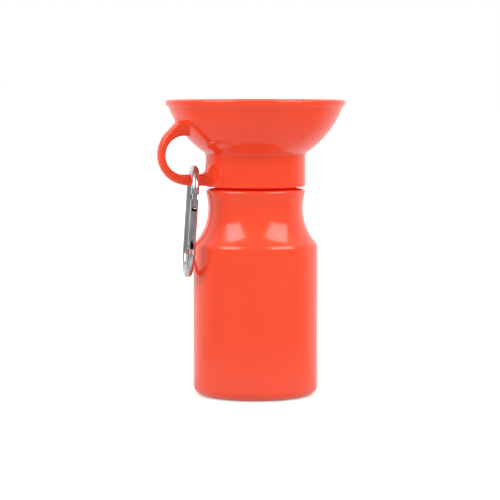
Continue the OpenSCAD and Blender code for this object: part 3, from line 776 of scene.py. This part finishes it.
class WATERBOTTLE_OT_carry_loop(bpy.types.Operator):
    """Carry loop: a rounded strap carried along its two edges and blended into the bowl's skin"""

    bl_idname = "water_bottle.carry_loop"
    bl_label = "Carry loop"

    def execute(self, context):
        s, bowl = context.scene.water_bottle_loop, context.scene.water_bottle_bowl
        centre_z = bowl.rim_z + bowl.centre_rise
        # The strap starts inside the collar's skirt, just above the collar's foot
        start_r, root_low = bowl.collar_r - 1.3 * MM, bowl.collar_z + 0.6 * MM
        bar_low = bowl.collar_z + 1.05 * MM
        bar_top = bar_low + s.bar_t
        out_c = np.array((s.reach - s.out_r, bar_low + s.out_r))
        hole_c = np.array((s.reach - s.strap_t - s.hole_r, bar_top + s.hole_r))
        gusset_c = (bowl.collar_r - 0.2 * MM + s.gusset_r, bar_top + s.gusset_r)
        skin_r = bowl.bowl_r - bowl.wall / 2
        out_end, hole_end = 45, 100

        def into_bowl(centre, radius, turn):
            """The end of a bend carried on straight to the middle of the bowl's wall."""
            end = arc(centre, radius, turn, turn, 0)[0]
            slope = 1 / math.tan(math.radians(turn))
            drop = centre_z - end[1]
            half, k = end[0] + drop * slope, 1 + slope**2
            run = (half - math.sqrt(half**2 - k * (end[0] ** 2 + drop**2 - skin_r**2))) / k
            return np.array([end + run * share * np.array((-1, slope)) for share in (0.5, 1)])

        # Stations 0 to 32 along the strap, as in the CAD, and its two edges as lines over them
        station = np.concatenate(([0], np.linspace(1, 9, 41), np.linspace(10, 30, 121), [31, 32]))
        foot, bar = np.array((bowl.collar_r, root_low)), np.array((out_c[0], bar_low))
        outer = np.vstack((
            (start_r, root_low),
            foot + np.linspace(0, 0.5, 41)[:, None] * (bar - foot),
            arc(out_c, s.out_r, -90, out_end, 120),
            into_bowl(out_c, s.out_r, out_end),
        ))
        hole = np.vstack((
            (start_r, bar_top + s.gusset_r + 1.3 * MM),
            arc(gusset_c, s.gusset_r, 180, 270, 40),
            arc(hole_c, s.hole_r, -90, hole_end, 120),
            into_bowl(hole_c, s.hole_r, hole_end),
        ))
        stretches = ((0, 4, 60), (4.1, 28, 110), (28.05, 32, 80))
        at = np.concatenate([np.linspace(*stretch) for stretch in stretches])
        edge_at = lambda line: np.column_stack([np.interp(at, station, line[:, k]) for k in (0, 1)])
        outer, hole = edge_at(outer), edge_at(hole)
        # The strap flares over its first 4 stations and its last 7
        flare = np.clip(1 - at / 4, 0, None) ** 2 + np.clip(1 - (32 - at) / 7, 0, None) ** 2
        half = s.width / 2 + s.root_flare * flare
        across = outer - hole
        thick = np.linalg.norm(across, axis=1)
        along = across / thick[:, None]
        edge = np.minimum(s.edge_r, thick / 2 * 0.98)
        # Share of the bend's own roundings, which the bar and the root don't have
        bend = np.interp(at, (8, 13, 27, 31), (0, 1, 1, 0))
        # Four corners of so many points, with the signs of their quarters
        corner = 9
        turn = np.concatenate([np.linspace(q, q + 1, corner) for q in range(4)]) * np.pi / 2
        quarter = (np.repeat(np.arange(4), corner) + 0.5) * np.pi / 2
        sx, sy = np.sign(np.cos(quarter)), np.sign(np.sin(quarter))
        to = lambda out, inner: (edge + bend * (np.where(sx > 0, out, inner)[:, None] - edge)).T
        deep, broad = to(s.crown_t, s.inner_edge_r), to(s.crown_w, s.inner_edge_r)

        def section(grow):
            """Rectangles with elliptical corners between the two edges, swollen by grow."""
            d = sx * (thick[:, None] / 2 - deep) + (deep + grow) * np.cos(turn)
            w = sy * (half[:, None] - broad) + (broad + grow) * np.sin(turn)
            mid = (outer + hole) / 2
            x, z = (mid[:, k, None] + d * along[:, k, None] for k in (0, 1))
            return np.stack((-x, w, z), axis=-1)

        plain = section(np.zeros((len(at), len(turn))))
        near, outside = skin_distance(plain.reshape(-1, 3), bowl_skin(bowl))
        share = np.clip(1 - np.where(outside, near, 0) / s.fillet_r, 0, 1)
        # A quarter circle of the fillet's radius, 1 - sqrt(1 - share squared), and not quite full
        fullness = 0.85
        grow = s.fillet_r * (1 - np.sqrt(1 - share**2)).reshape(plain.shape[:2])
        points = section(grow * fullness)
        # The collar's foot stays the lowest edge
        points[..., 2] = np.maximum(points[..., 2], bowl.collar_z + 0.05 * MM)
        rows, columns = points.shape[:2]
        caps = [list(range(columns)), list(range((rows - 1) * columns, rows * columns))[::-1]]
        faces = quads(rows, columns).reshape(-1, 4)[:, ::-1].tolist() + caps
        add_piece(
            "carry_loop_strap", points, faces, "bowl",
            shared(hard_red_plastic), ["carry_loop"],
        )
        return {"FINISHED"}


class WATERBOTTLE_OT_valve(bpy.types.Operator):
    """Valve: finishes of the insert, the seals and the dip tube"""

    bl_idname = "water_bottle.valve"
    bl_label = "Valve"

    def execute(self, context):
        finish_node("valve_insert", shared(hard_red_plastic))
        for name in ("neck_gasket", "nozzle_seal", "slide_seal"):
            finish_node(name, shared(seal_silicone))
        finish_node("dip_tube", shared(tube_plastic))
        return {"FINISHED"}


class WATERBOTTLE_OT_clip(bpy.types.Operator):
    """Spring clip: finishes of its body, its gate and the gate's small parts"""

    bl_idname = "water_bottle.clip"
    bl_label = "Clip"

    def execute(self, context):
        finish_node("clip_body", shared(clip_aluminium))
        finish_node("clip_gate", shared(gate_aluminium))
        for name in ("gate_rivet", "latch_pin", "gate_plunger", "gate_spring"):
            finish_node(name, shared(pin_steel))
        return {"FINISHED"}


# ---- Studio


def direction(azimuth, elevation):
    """Unit vector from the bottle towards a place so many degrees round from -Y and up."""
    a, e = math.radians(azimuth), math.radians(elevation)
    return Vector((math.sin(a) * math.cos(e), -math.cos(a) * math.cos(e), math.sin(e)))


def add_lamp(name, azimuth, elevation, distance, width, height, power):
    """A soft box that faces the bottle's middle."""
    middle = Vector((0, 0, 0.1))
    light = bpy.data.lights.new(name, "AREA")
    light.shape, light.size, light.size_y, light.energy = "RECTANGLE", width, height, power
    lamp = bpy.data.objects.new(name, light)
    bpy.context.scene.collection.objects.link(lamp)
    lamp.location = middle + direction(azimuth, elevation) * distance
    lamp.rotation_euler = direction(azimuth, elevation).to_track_quat("Z", "Y").to_euler()


def surround(tree, place, azimuth, back, front, near, far):
    """Brightness of the surroundings in a direction.

    It runs smoothly from back to front, while the cosine of the angle from the camera's side, or
    from straight up where azimuth is None, runs from near to far.
    """
    facing = tree.nodes.new("ShaderNodeVectorMath")
    facing.operation = "DOT_PRODUCT"
    facing.inputs[1].default_value = (0, 0, 1) if azimuth is None else direction(azimuth, 0)
    tree.links.new(place, facing.inputs[0])
    level = tree.nodes.new("ShaderNodeMapRange")
    level.interpolation_type = "SMOOTHSTEP"
    map_range(level, back, front, near, far)
    tree.links.new(facing.outputs["Value"], level.inputs["Value"])
    return level.outputs["Result"]


def floor_material(azimuth):
    """White floor, darkened by the object's shadow, that gloss sees as it sees the surroundings.

    The glow that the camera sees rises from 0.5 to 1 between 0.1 and 0.6 m from the object, so
    that the floor runs into the background. Near the object gloss sees at least 0.75, which falls
    to 0 between 0.12 and 0.45 m. From below the floor isn't there.
    """
    made = Recipe("studio_floor")
    tree, nodes = made.tree, made.tree.nodes
    nodes.remove(made.shader)
    path = nodes.new("ShaderNodeLightPath")
    away = made.vector("LENGTH", made.place).outputs["Value"]
    glow = made.sum("MULTIPLY", path.outputs["Is Camera Ray"], made.span(away, 0.5, 1.0, 0.1, 0.6))
    level = made.vector("NORMALIZE", made.place).outputs["Vector"]
    around = surround(tree, level, azimuth, *GLOSS_SEES)
    mirrored = made.sum("MAXIMUM", around, made.span(away, 0.75, 0.0, 0.12, 0.45))

    def shade(kind, *shaders, **inputs):
        """A shader node whose last sockets take the other shaders."""
        node = made.node(kind, **inputs)
        for socket, shader in zip(node.inputs[len(node.inputs) - len(shaders) :], shaders):
            tree.links.new(shader, socket)
        return node.outputs[0]

    paper = shade(
        "ShaderNodeAddShader",
        shade("ShaderNodeEmission", Strength=glow),
        shade("ShaderNodeBsdfDiffuse", Color=(0.68, 0.68, 0.68, 1.0)),
    )
    mirror = shade("ShaderNodeEmission", Strength=mirrored)
    above = shade("ShaderNodeMixShader", paper, mirror, Fac=path.outputs["Is Glossy Ray"])
    below = nodes.new("ShaderNodeNewGeometry").outputs["Backfacing"]
    sides = shade("ShaderNodeMixShader", above, shade("ShaderNodeBsdfTransparent"), Fac=below)
    tree.links.new(sides, nodes["Material Output"].inputs["Surface"])
    return made.material


def light_world(azimuth):
    """White surroundings for the camera and for gloss, dimmer in front, and a soft fill.

    The fill is the sum of a level that falls towards the camera and one that grows straight up.
    """
    world = bpy.data.worlds.new("studio_world")
    bpy.context.scene.world = world
    world.use_nodes = True
    tree, nodes, links = world.node_tree, world.node_tree.nodes, world.node_tree.links
    path = nodes.new("ShaderNodeLightPath")
    place = nodes.new("ShaderNodeTexCoord").outputs["Generated"]
    mirrored = surround(tree, place, azimuth, *GLOSS_SEES)
    around = surround(tree, place, azimuth, back=0.46, front=0.14, near=-1.0, far=1.0)
    above = surround(tree, place, None, back=0.0, front=0.72, near=0.1, far=1.0)
    fill = nodes.new("ShaderNodeMath")
    fill.operation = "ADD"
    links.new(around, fill.inputs[0])
    links.new(above, fill.inputs[1])

    def mix(share, first, second):
        """A number between first and second."""
        made = nodes.new("ShaderNodeMix")
        for key, value in (("Factor", share), (2, first), (3, second)):
            socket = made.inputs[key]
            if isinstance(value, bpy.types.NodeSocket):
                links.new(value, socket)
            else:
                socket.default_value = value
        return made.outputs[0]

    gloss = mix(path.outputs["Is Glossy Ray"], fill.outputs[0], mirrored)
    through = mix(path.outputs["Is Transmission Ray"], gloss, 1.0)
    background = nodes["Background"].inputs
    background["Color"].default_value = (1, 1, 1, 1)
    links.new(mix(path.outputs["Is Camera Ray"], through, 1.0), background["Strength"])


class WATERBOTTLE_OT_stage(bpy.types.Operator):
    """Stage: white floor, two soft boxes, white surroundings and the camera"""

    bl_idname = "water_bottle.stage"
    bl_label = "Stage"

    def execute(self, context):
        s, scene = context.scene.water_bottle_studio, context.scene
        turn = math.degrees(s.azimuth)
        mesh = bpy.data.meshes.new("floor")
        reach = 12.0
        corners = [(x * reach, y * reach, 0) for x, y in ((-1, -1), (1, -1), (1, 1), (-1, 1))]
        mesh.from_pydata(corners, [], [(0, 1, 2, 3)])
        mesh.materials.append(floor_material(turn))
        floor = bpy.data.objects.new("floor", mesh)
        scene.collection.objects.link(floor)
        add_lamp("left_softbox", turn - 55, 40, distance=1.2, width=0.73, height=0.73, power=7.1)
        add_lamp("right_softbox", turn + 58, 40, distance=1.2, width=0.88, height=0.73, power=8.0)
        light_world(turn)
        back = direction(turn, 0)
        right = Vector((math.cos(s.azimuth), math.sin(s.azimuth), 0))
        data = bpy.data.cameras.new("camera")
        data.lens, data.sensor_width = s.lens, 36.0
        data.clip_start, data.clip_end = 0.05, 60.0
        camera = bpy.data.objects.new("camera", data)
        scene.collection.objects.link(camera)
        camera.location = back * s.distance + Vector((0, 0, s.height))
        aim = right * -s.aim_left + Vector((0, 0, s.aim_z))
        camera.rotation_euler = (aim - camera.location).to_track_quat("-Z", "Y").to_euler()
        scene.camera = camera
        scene.view_settings.view_transform = "Standard"
        return {"FINISHED"}


class WATERBOTTLE_PT_panel(bpy.types.Panel):
    """Lists the sizes, the colours and the steps that make the object"""

    bl_idname = "WATERBOTTLE_PT_panel"
    bl_label = "Travel Water Bottle"
    bl_space_type = "VIEW_3D"
    bl_region_type = "UI"
    bl_category = "Water Bottle"

    def draw(self, context):
        for key in GROUPS:
            box = self.layout.box()
            group = getattr(context.scene, key)
            box.label(text=key.replace("water_bottle_", "").title())
            for name in group.__annotations__:
                box.prop(group, name)
        for step in STEPS:
            self.layout.operator(step.bl_idname)


GROUPS = {
    "water_bottle_bottle": BottleSizes,
    "water_bottle_bowl": BowlSizes,
    "water_bottle_loop": LoopSizes,
    "water_bottle_finish": Finish,
    "water_bottle_studio": Studio,
}
STEPS = (
    WATERBOTTLE_OT_stage,
    WATERBOTTLE_OT_bottle,
    WATERBOTTLE_OT_bowl,
    WATERBOTTLE_OT_carry_loop,
    WATERBOTTLE_OT_valve,
    WATERBOTTLE_OT_clip,
)


def register():
    for kind in (*GROUPS.values(), *STEPS, WATERBOTTLE_PT_panel):
        bpy.utils.register_class(kind)
    for key, group in GROUPS.items():
        setattr(bpy.types.Scene, key, bpy.props.PointerProperty(type=group))


def unregister():
    for key in GROUPS:
        delattr(bpy.types.Scene, key)
    for kind in reversed((*GROUPS.values(), *STEPS, WATERBOTTLE_PT_panel)):
        bpy.utils.unregister_class(kind)


def main():
    """Makes every piece."""
    register()
    bpy.ops.water_bottle.stage()
    bpy.ops.water_bottle.bottle()
    bpy.ops.water_bottle.bowl()
    bpy.ops.water_bottle.carry_loop()
    bpy.ops.water_bottle.valve()
    bpy.ops.water_bottle.clip()


if __name__ == "__main__":
    main()
